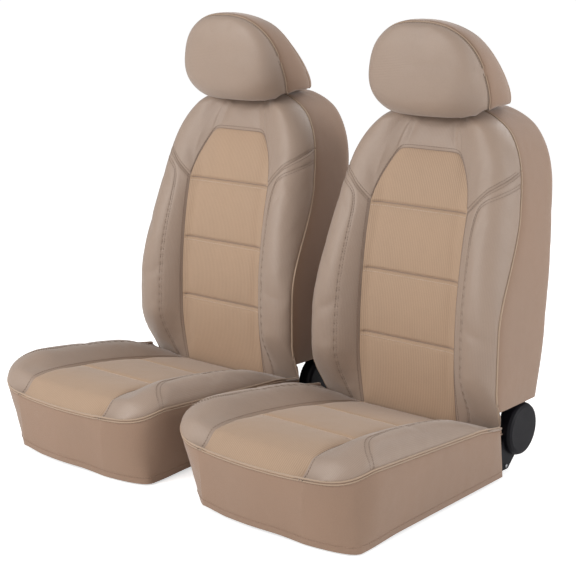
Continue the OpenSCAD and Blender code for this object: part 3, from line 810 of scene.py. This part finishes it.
# Edges that are drawn in: all four where neither the panel nor its kind is listed
SEWN_EDGES = {
    "headrest_front": ("top",), "headrest_band": ("bottom", "top"), "headrest_back": ("bottom",),
    "cushion_skirt": ("bottom",), "backrest_tuck": (), "cushion_flap": (),
    **dict.fromkeys(("insert", "bolster", "side"), ("left", "right", "top")),
}
# Small folds of the yoke under the headrest
yoke = panels["backrest_yoke"]
yoke_x, yoke_top = yoke.base[..., 0], yoke.base[..., 2]
folds = np.sin(yoke_x / 11 + 1.3 * np.sin(yoke_x / 37)) + 0.6 * np.sin(yoke_x / 6.1 + yoke_top / 23)
near_top = np.exp(-((BACK_TOP - 8 - yoke_top) / 26) ** 2)
yoke.push(-0.9 * (1 + folds / 1.6) * near_top * smooth((150 - np.abs(yoke_x)) / 60))
for name, panel in panels.items():
    panel.sew(SEWN_EDGES.get(name, SEWN_EDGES.get(name.split("_")[-1], EDGES)))
for z in CHANNEL_HEIGHTS:
    groove(panels["backrest_insert"], channel_v(z), 5, 3.4)
    groove(panels["backrest_insert"], channel_v(z - THREAD_DROP), 1.2, 2.5)
for t in CUSHION_CHANNELS:
    groove(panels["cushion_insert"], cushion_v(t), 3.2, 4)
    groove(panels["cushion_insert"], cushion_v(t + THREAD_DROP), 1.0, 2.5)


# ---- materials ----

class Nodes:
    """A node tree, with a short way to add each kind of node that the materials use."""

    def __init__(self, tree):
        self.nodes, self.links = tree.nodes, tree.links

    def put(self, socket, value):
        """Links a socket, or sets it to a number or a colour."""
        if isinstance(value, bpy.types.NodeSocket):
            self.links.new(value, socket)
        else:
            socket.default_value = (*value, 1) if isinstance(value, tuple) else value

    def fill(self, node, **values):
        for name, value in values.items():
            self.put(node.inputs[name.replace("_", " ")], value)

    def new(self, kind, **values):
        node = self.nodes.new("ShaderNode" + kind)
        self.fill(node, **values)
        return node

    def math(self, operation, *values):
        node = self.new("Math")
        node.operation = operation
        for socket, value in zip(node.inputs, values):
            self.put(socket, value)
        return node.outputs[0]

    def noise(self, vector, scale, detail=3.0):
        return self.new("TexNoise", Vector=vector, Scale=scale, Detail=detail, Roughness=0.55).outputs["Fac"]

    def mix(self, factor, a, b):
        node = self.new("Mix")
        node.data_type = "RGBA"
        for place, value in ((0, factor), (6, a), (7, b)):
            self.put(node.inputs[place], value)
        return node.outputs[2]

    def bump(self, height, strength, distance, **normal):
        return self.new("Bump", Height=height, Strength=strength, Distance=distance, **normal).outputs[0]


def new_material(name):
    material = bpy.data.materials.new(name)
    material.use_nodes = True
    tree = Nodes(material.node_tree)
    return material, tree, tree.nodes["Principled BSDF"]


def scaled(color, k):
    return tuple(min(1, c * k) for c in color)


def fabric(name, color, rib=0.0042, rib_light=0.12, rib_bump=0.25, rough=0.72, sheen=0.3, worn=1.08,
           thread=0.0011, tint=(1.0, 0.97, 0.93), gloss=0.25):
    """Woven fabric: fine ribs along the cloth, a thread weave, soft colour variation and light wear."""
    material, tree, shader = new_material(name)
    uv = tree.new("UVMap")
    uv.uv_map = "Cloth"
    split = tree.new("SeparateXYZ", Vector=uv.outputs[0])
    place = tree.new("TexCoord").outputs["Object"]

    def wave(axis, pitch):
        return tree.math("SINE", tree.math("MULTIPLY", split.outputs[axis], 2 * math.pi / pitch))

    ribs = tree.math("MULTIPLY_ADD", wave(0, rib), 0.5, 0.5)
    weave = tree.math("MULTIPLY", wave(0, thread), wave(1, thread))
    slub = tree.noise(uv.outputs[0], 420, 2)

    base = tree.mix(ribs, scaled(color, 1 - rib_light), scaled(color, 1 + rib_light * 0.6))
    tone = tree.new("MapRange", From_Min=0.3, From_Max=0.7, Value=tree.noise(place, 7)).outputs[0]
    base = tree.mix(tree.math("MULTIPLY", tone, 0.35), base, tuple(c * worn * t for c, t in zip(color, tint)))
    speck = tree.math("MULTIPLY", tree.math("SUBTRACT", slub, 0.42), 0.5)
    base = tree.mix(speck, base, scaled(color, 0.62))
    soil = tree.math("MULTIPLY", tree.math("SUBTRACT", tree.noise(place, 38, 4), 0.5), 0.35)
    base = tree.mix(soil, base, scaled(color, 0.75))

    height = tree.math("ADD", tree.math("MULTIPLY", ribs, rib_bump), tree.math("MULTIPLY", weave, 0.12))
    height = tree.math("ADD", height, tree.math("MULTIPLY", slub, 0.35))
    threads = tree.bump(height, 0.35, 0.0009)
    folds = tree.bump(tree.noise(place, 16, 2), 0.25, 0.006, Normal=threads)
    tree.fill(shader, Base_Color=base, Roughness=rough, Sheen_Weight=sheen, Sheen_Roughness=0.45,
              Specular_IOR_Level=gloss, Normal=folds)
    return material


def plain(name, color, rough, metal=0.0, wear=0.85, grain=260, bump=0.05, shine=0.5):
    """Plastic, paint or steel with a fine grain, uneven gloss and faint wear."""
    material, tree, shader = new_material(name)
    place = tree.new("TexCoord").outputs["Object"]
    broad = tree.noise(place, 14, 4)
    gloss = tree.new("MapRange", To_Min=max(0.05, rough - 0.08), To_Max=min(1, rough + 0.1), Value=broad)
    tree.fill(shader, Base_Color=tree.mix(broad, color, scaled(color, wear)), Roughness=gloss.outputs[0],
              Metallic=metal, Specular_IOR_Level=shine, Normal=tree.bump(tree.noise(place, grain), bump, 0.0006))
    return material


TAUPE = (0.365, 0.272, 0.215)
MESH = (0.455, 0.318, 0.222)
STRETCH = (0.328, 0.217, 0.155)
looks = {
    "taupe_fabric": fabric("taupe_fabric", TAUPE, rib=0.0036, rib_light=0.08, rough=0.44, sheen=0.3, gloss=0.45),
    "mesh_fabric": fabric("mesh_fabric", MESH, rib=0.0046, rib_light=0.14, rib_bump=0.6, rough=0.8, sheen=0.25,
                          thread=0.0016),
    "stretch_fabric": fabric("stretch_fabric", STRETCH, rib=0.0022, rib_light=0.05, rib_bump=0.12, rough=0.78,
                             sheen=0.45, tint=(1.0, 0.94, 0.9)),
    "webbing": fabric("webbing", (0.02, 0.02, 0.021), rib=0.003, rib_light=0.3, rib_bump=0.8, rough=0.75, sheen=0.1),
    "foam": plain("foam", (0.11, 0.11, 0.115), 0.95, wear=0.7, grain=900, bump=0.8),
    "black_plastic": plain("black_plastic", (0.009, 0.008, 0.012), 0.45, wear=0.6, grain=700, bump=0.12, shine=0.22),
    "post_steel": plain("post_steel", (0.6, 0.6, 0.62), 0.22, 1.0, grain=300, bump=0.03),
    "frame_steel": plain("frame_steel", (0.035, 0.035, 0.04), 0.45, 0.2, grain=500, bump=0.15),
}
THREADS = {slot: plain(name, color, 0.6, wear=wear, grain=1500, bump=0.4) for slot, name, color, wear in (
    ("mesh_fabric", "tan_thread", (0.62, 0.475, 0.36), 0.85),
    ("taupe_fabric", "taupe_thread", scaled(TAUPE, 0.84), 0.85),
    ("stretch_fabric", "hem_thread", scaled(STRETCH, 1.06), 0.9))}
piping = fabric("piping", (0.45, 0.33, 0.24), rib=0.002, rib_light=0.1, rough=0.6, sheen=0.4)

for subpart in frame["record"]["subparts"]:
    node = frame["nodes"][subpart["node"]]
    node.data.materials.clear()
    node.data.materials.append(looks[subpart["material_slot"]])


# ---- the pieces ----

def finish_piece(obj, body, replaced=()):
    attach(obj, body)
    if replaced:
        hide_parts(*replaced)


# CAD nodes whose names aren't their panel's own. The last two panels have none.
CAD_NAMES = {
    "headrest_front": "headrest_front_panel", "headrest_band": "headrest_side_band",
    "headrest_back": "headrest_back_panel", "backrest_cap": "backrest_top_panel",
    "backrest_back": "backrest_back_panel", "backrest_tuck": None, "cushion_flap": None,
}


def slot_of(name):
    """A panel's material slot: stretch fabric unless it is an insert, yoke, bolster or headrest front."""
    kinds = {"insert": "mesh_fabric", "yoke": "taupe_fabric", "bolster": "taupe_fabric", "front": "taupe_fabric"}
    return kinds.get(name.split("_")[-1], "stretch_fabric")


def body_of(name):
    return name.split("_")[0]


def build_panels(side):
    other = "right" if side == "left" else "left"
    for name, panel in panels.items():
        slot = slot_of(name)
        obj = panel_object(f"{side}_{name}_cover", panel, side, looks[slot])
        node = CAD_NAMES.get(name, name.replace(f"_{side}_", "_outboard_").replace(f"_{other}_", "_inboard_"))
        finish_piece(obj, f"{side}_{body_of(name)}", [f"{side}_{node}"] if node else ())
        if slot != "stretch_fabric":
            continue
        width, length = panel.size_m
        width *= 1.01 if panel.around else 1
        area = cut_area(panel)


def build_fold(side):
    """The fold crosses the recline joint, and is made as one fixed piece that follows neither body."""
    panel = Panel(bite_fold, edged_steps(40), np.linspace(0, 1, 14))
    obj = panel_object(f"{side}_bite_fold_cover", panel, side, looks["stretch_fabric"], FOLD_T)
    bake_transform(obj)


def panel_line(name, us, vs, lift=0.0):
    points, normals = panels[name].at(us, vs)
    return points + normals * lift, normals


def run(a, b, count=160):
    return np.linspace(a, b, count)


def edge_line(name, edge, distance, first=0.0, last=1.0, count=160):
    """A line on a panel that runs beside one of its edges, at a distance in millimetres."""
    panel = panels[name]
    k = EDGES.index(edge)
    lengths, t = panel.from_edges[k], run(first, last, count)

    def crossing(row, steps, backward):
        return np.interp(distance, row[::-1], steps[::-1]) if backward else np.interp(distance, row, steps)

    if k < 2:
        places = [crossing(row, panel.us, k == 1) for row in lengths]
        return np.interp(t, panel.vs, places), t
    places = [crossing(column, panel.vs, k == 3) for column in lengths.T]
    steps = panel.us
    if panel.around:
        places, steps = places + places[:1], np.append(steps, 1.0)
    return t, np.interp(t, steps, places)


def bolster_place(s, z):
    """(share outwards, share up) of a point on a backrest bolster."""
    inner = bolster_inner(z)
    out = np.clip((s - inner) / (1 - inner), 0, 1)
    return out, (z - BACK_BOTTOM) / (style_z(lerp(SHOULDER_SHARE, 1, out)) - BACK_BOTTOM)


def groove_path(name, us, vs, depth, width):
    """Draws the fabric in along any path on a panel. Distances are those on the unsewn surface."""
    panel = panels[name]
    path = panel.shape(us, vs)
    away = np.linalg.norm(panel.base[:, :, None] - path[None, None], axis=-1).min(2)
    panel.push(-depth * np.exp(-(away / width) ** 2))


# Double stitched lines down the bolsters: share of the half width, then height or distance forward
BACK_DOUBLE = rounded([(0.99, 636), (0.9, 622), (0.8, 606), (0.71, 588), (0.68, 540), (0.68, 420), (0.68, 260),
                       (0.69, 94)])
CUSHION_DOUBLE = rounded([(0.99, 468), (0.93, 466), (0.87, 458), (0.81, 432), (0.78, 370), (0.77, 200), (0.77, 12)])


def double_paths(name):
    """The two stitched lines down a bolster, as (us, vs)."""
    panel = panels[name]
    wide = float(panel.from_edges[0][len(panel.vs) // 2, -1])
    tall = float(panel.from_edges[2][-1].mean())
    if name.startswith("backrest"):
        u, v = bolster_place(*BACK_DOUBLE.T)
    else:
        s, t = CUSHION_DOUBLE.T
        inner = cushion_insert_a(t)
        u, v = (s - inner) / (1 - inner), cushion_v(t)
    along = unit(np.gradient(np.stack([u * wide, v * tall], -1), axis=0))
    out = []
    for shift in (-DOUBLE_GAP / 2, DOUBLE_GAP / 2):
        us = np.clip(u - along[:, 1] * shift / wide, 0.02, 0.98)
        vs = np.clip(v + along[:, 0] * shift / tall, 0.01, 0.99)
        # On these two panels u runs outwards
        out.append((us if name in ("backrest_right_bolster", "cushion_left_bolster") else 1 - us, vs))
    return out


STITCH_ROWS = {}    # panel: the rows of stitches on it, each as (us, vs)
for place, other in (("left", "right"), ("right", "left")):
    for kind, seams, span in (("backrest", (other, "top"), (0, 1)), ("cushion", (place,), (0.01, 0.975))):
        name = f"{kind}_{place}_bolster"
        rows = double_paths(name)
        groove_path(name, *[(a + b) / 2 for a, b in zip(*rows)], 2.0, 4.5)
        STITCH_ROWS[name] = rows + [edge_line(name, edge, SEAM_STITCH, *span) for edge in seams]
STITCH_ROWS["backrest_yoke"] = [edge_line("backrest_yoke", "bottom", SEAM_STITCH, 0.02, 0.98, 260)]
STITCH_ROWS["backrest_insert"] = [(run(0.01, 0.99), np.full(160, channel_v(z - THREAD_DROP)))
                                  for z in CHANNEL_HEIGHTS]
STITCH_ROWS["cushion_insert"] = [(run(0.01, 0.99), np.full(160, cushion_v(t + shift)))
                                 for t in CUSHION_CHANNELS for shift in (0, THREAD_DROP)]
STITCH_ROWS["cushion_skirt"] = [edge_line("cushion_skirt", "bottom", 8, 0.005, 0.995, 500),
                                edge_line("cushion_skirt", "top", 14, 0.005, 0.995, 500)]
STITCH_ROWS["headrest_front"] = [edge_line("headrest_front", "top", 6, 0, 1, 300)]
STITCH_ROWS["headrest_band"] = [edge_line("headrest_band", "bottom", 6, 0, 1, 300)]
# Painted shade: continuous dark thread-like cords along the bottom of the channels and of the seams round the
# insert: panel, us, vs
PAINTED_SHADE_ROWS = [("backrest_insert", run(0.02, 0.98), np.full(160, channel_v(z))) for z in CHANNEL_HEIGHTS]
for place, inner in (("left", "right"), ("right", "left")):
    PAINTED_SHADE_ROWS.append((f"backrest_{place}_bolster", *edge_line(f"backrest_{place}_bolster", inner, 0.3)))
PAINTED_SHADE_ROWS.append(("backrest_yoke", *edge_line("backrest_yoke", "bottom", 0.3, 0.01, 0.99, 300)))
# Piping: panel, edge, radius
CORDS = [
    ("backrest_left_bolster", "left", 2.1), ("backrest_right_bolster", "right", 2.1),
    ("backrest_yoke", "left", 2.1), ("backrest_yoke", "right", 2.1), ("backrest_yoke", "top", 2.1),
    ("headrest_front", "top", 1.3), ("headrest_band", "top", 1.2),
    ("cushion_skirt", "bottom", 1.9),
]


def build_stitching(side):
    for name, rows in STITCH_ROWS.items():
        slot = slot_of(name)
        radius = 1.15 if slot == "mesh_fabric" else 0.8
        parts = [stitches(*panel_line(name, u, v), radius=radius) for u, v in rows]
        obj = new_object(f"{side}_{name}_stitching", *merged(parts), side, material=THREADS[slot])
        finish_piece(obj, f"{side}_{body_of(name)}")


def build_cords(side):
    """Painted shade as dark cords in the grooves round the insert, and piping along the seams."""
    # The dark cords paint the shade at the bottom of the channels and the seams round the insert, in the taupe
    # thread's material
    dark = [tube(*panel_line(name, us, vs, 0.4), 0.9, 6) for name, us, vs in PAINTED_SHADE_ROWS]
    obj = new_object(f"{side}_backrest_painted_shade_lines", *merged(dark), side, material=THREADS["taupe_fabric"])
    finish_piece(obj, f"{side}_backrest")
    cords = {}
    for name, edge, radius in CORDS:
        us, vs = edge_line(name, edge, 0.5, 0.003, 0.997, 300)
        points, normals = panel_line(name, us, vs, SEAM_DEPTH * 0.55)
        parts = [tube(points, normals, radius, 10)]
        if name == "cushion_skirt":
            below = panel_line(name, *edge_line(name, edge, 5.5, 0.006, 0.994, 300), 0.2)
            parts.append(tube(*below, radius * 0.8, 10))
        cords.setdefault(body_of(name), []).extend(parts)
    for body, parts in cords.items():
        obj = new_object(f"{side}_{body}_piping", *merged(parts), side, material=piping)
        finish_piece(obj, f"{side}_{body}")


# ---- foam cores and straps in place of the plain CAD ones ----

def foam_core(side, body, cell, relief, sink=0.0):
    """The foam as cut: its CAD shape remeshed, softened and given the uneven face of moulded foam."""
    name = f"{side}_{body}_foam"
    obj = linked(name + "_core", frame["nodes"][name].data.copy())
    obj.data.materials.clear()
    obj.data.materials.append(looks["foam"])
    remesh = obj.modifiers.new("Remesh", "REMESH")
    remesh.mode = "VOXEL"
    remesh.voxel_size = cell * MM
    remesh.use_smooth_shade = True
    relax = obj.modifiers.new("Smooth", "SMOOTH")
    relax.factor = 0.4
    relax.iterations = 4
    mesh = bpy.data.meshes.new_from_object(obj.evaluated_get(bpy.context.evaluated_depsgraph_get()))
    obj.modifiers.clear()
    obj.data = mesh
    count = len(mesh.vertices)
    co, normal = np.zeros(count * 3), np.zeros(count * 3)
    mesh.vertices.foreach_get("co", co)
    mesh.vertices.foreach_get("normal", normal)
    co, normal = co.reshape(-1, 3), normal.reshape(-1, 3)
    waves = np.sin(co[:, 0] * 61) * np.sin(co[:, 1] * 53 + 1) * np.sin(co[:, 2] * 47 + 2)
    co = co - normal * ((sink + relief * (1 + waves[:, None])) * MM)
    mesh.vertices.foreach_set("co", co.ravel())
    mesh.update()
    finish_piece(obj, f"{side}_{body}", [name])


def strap(name, side, points, across, width, body, wave=0.0, replaced=()):
    """A flat woven strap along points, with a slight slack between its ends."""
    points = np.asarray(points, float)
    at, line = spaced(points, lambda total: max(8, int(total / 6)), points)
    line[:, 2] += wave * np.sin(at / at[-1] * math.pi) ** 2 * np.cos(at / 38)
    across = np.asarray(across, float)
    n = unit(np.cross(across, np.gradient(line, axis=0)))
    shares = np.array([-0.5, -0.46, -0.25, 0, 0.25, 0.46, 0.5])
    edge = np.array([0.3, 0.85, 1, 1, 1, 0.85, 0.3])
    middle = line[:, None] + shares[None, :, None] * width * across
    half = (edge * STRAP_T / 2)[None, :, None] * n[:, None]
    top, low = middle + half, middle - half
    size = top.shape[:2]
    vertices = np.concatenate([top.reshape(-1, 3), low.reshape(-1, 3)])
    flat = np.stack([np.broadcast_to(shares * width, size), np.broadcast_to(at[:, None], size)], -1)
    uv = np.concatenate([flat.reshape(-1, 2)] * 2)
    obj = new_object(f"{side}_{name}", vertices, closed_faces(*size, flip=True), side, uv, looks["webbing"])
    finish_piece(obj, f"{side}_{body}", replaced)


def build_screws(side):
    """The bright screw at the lower end of each recliner cover."""
    low, high = (np.array(c) / MM - seat_origin(side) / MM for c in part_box(f"{side}_recliner_covers"))
    parts = []
    for way, x in ((-1, low[0]), (1, high[0])):
        out = np.array([way, 0.0, 0.0])
        centre = np.array([x - way * 17, 52.0, 10.0])
        line = centre + np.array([0, 1.2, 2.6, 3.2])[:, None] * out
        v, f = tube(line, np.tile([0.0, 0.0, 1.0], (4, 1)), 4.2, 18)
        v[-18:] = line[-1] + (v[-18:] - line[-1]) * 0.72
        parts.append((v, f))
    obj = new_object(f"{side}_recliner_screws", *merged(parts), side, material=looks["post_steel"])
    finish_piece(obj, f"{side}_cushion")


def build_straps(side):
    reach = CUSHION_HALF - 26
    for name, y in (("cushion_strap_1", -330), ("cushion_strap_2", -200)):
        strap(name, side, [(-reach, y, 40.8), (reach, y, 40.8)], (0, 1, 0), 25, "cushion", 0.5,
              [f"{side}_cushion_straps"] if name.endswith("1") else ())
        for end, x in (("left", -reach - 3), ("right", reach + 3)):
            strap(f"{name}_tab_{end}", side, [(x, y, 27), (x, y, 54)], (0, 1, 0), 34, "cushion")
    rear = float(rear_y(np.array(92.0)))
    for name, x in (("backrest_tie_1", -90), ("backrest_tie_2", 90)):
        strap(name, side, [(x, 26, 92.8), (x, rear - 9, 92.8)], (1, 0, 0), 25, "backrest", 0.4,
              [f"{side}_backrest_tie_strap"] if name.endswith("1") else ())
        strap(name + "_tab", side, [(x, rear - 6, 91), (x, rear - 6, 114)], (1, 0, 0), 29, "backrest")


for side in SIDES:
    build_panels(side)
    build_fold(side)
    build_stitching(side)
    build_cords(side)
    foam_core(side, "cushion", 9, 0.4, 5)
    foam_core(side, "backrest", 9, 0.4, 1.5)
    foam_core(side, "headrest", 6, 0.3)
    build_straps(side)
    build_screws(side)


# ---- floor, light and camera ----

# The floor and the background show white to the camera but light the seats less than that
FLOOR_GLOW = 0.62
SKY_LIGHT = 0.46
bpy.context.scene.view_settings.view_transform = "Standard"

floor_mesh = bpy.data.meshes.new("floor")
floor_mesh.from_pydata([(-30, -30, 0), (30, -30, 0), (30, 30, 0), (-30, 30, 0)], [], [(0, 1, 2, 3)])
floor_look, floor_tree, floor_shader = new_material("floor")
seen = floor_tree.new("LightPath").outputs["Is Camera Ray"]
floor_tree.fill(floor_shader, Base_Color=(0.9, 0.9, 0.9), Roughness=0.9, Specular_IOR_Level=0.0,
                Emission_Color=(1, 1, 1), Emission_Strength=floor_tree.math("MULTIPLY", seen, FLOOR_GLOW))
floor = linked("floor", floor_mesh)
floor.data.materials.append(floor_look)

world = bpy.data.worlds.new("studio")
world.use_nodes = True
bpy.context.scene.world = world
sky_tree = Nodes(world.node_tree)
seen = sky_tree.new("LightPath").outputs["Is Camera Ray"]
sky_tree.fill(sky_tree.nodes["Background"], Color=(1, 1, 1),
              Strength=sky_tree.math("MULTIPLY_ADD", seen, 1 - SKY_LIGHT, SKY_LIGHT))


def area_light(name, place, target, size, power, color=(1, 1, 1)):
    light = bpy.data.lights.new(name, "AREA")
    light.shape = "RECTANGLE"
    light.size, light.size_y = size
    light.energy = power
    light.color = color
    obj = linked(name, light)
    obj.location = place
    obj.rotation_euler = (Vector(target) - Vector(place)).to_track_quat("-Z", "Y").to_euler()


area_light("key", (-1.55, -3.3, 2.3), (0, 0, 0.5), (1.3, 1.3), 71, (1, 0.985, 0.96))
area_light("front", (-0.55, -3.8, 1.7), (0.1, 0, 0.45), (0.8, 1.2), 30, (1, 0.985, 0.97))
area_light("fill", (3.3, 0.9, 1.6), (0.2, 0, 0.5), (1.4, 1.4), 42, (1, 0.99, 0.98))
area_light("rim", (0.6, 2.8, 2.6), (0, 0, 0.7), (1.8, 1.2), 30)

azimuth, elevation = math.radians(39.87), math.radians(13.48)
camera_data = bpy.data.cameras.new("camera")
camera_data.lens = 86.5
camera_data.sensor_width = 36
camera = linked("camera", camera_data)
camera.location = Vector(seat_origin("right").tolist()) + Vector((1.7337, -2.4988, 1.1177))
toward = Vector((-math.sin(azimuth) * math.cos(elevation), math.cos(azimuth) * math.cos(elevation),
                 -math.sin(elevation)))
camera.rotation_euler = toward.to_track_quat("-Z", "Y").to_euler()
bpy.context.scene.camera = camera
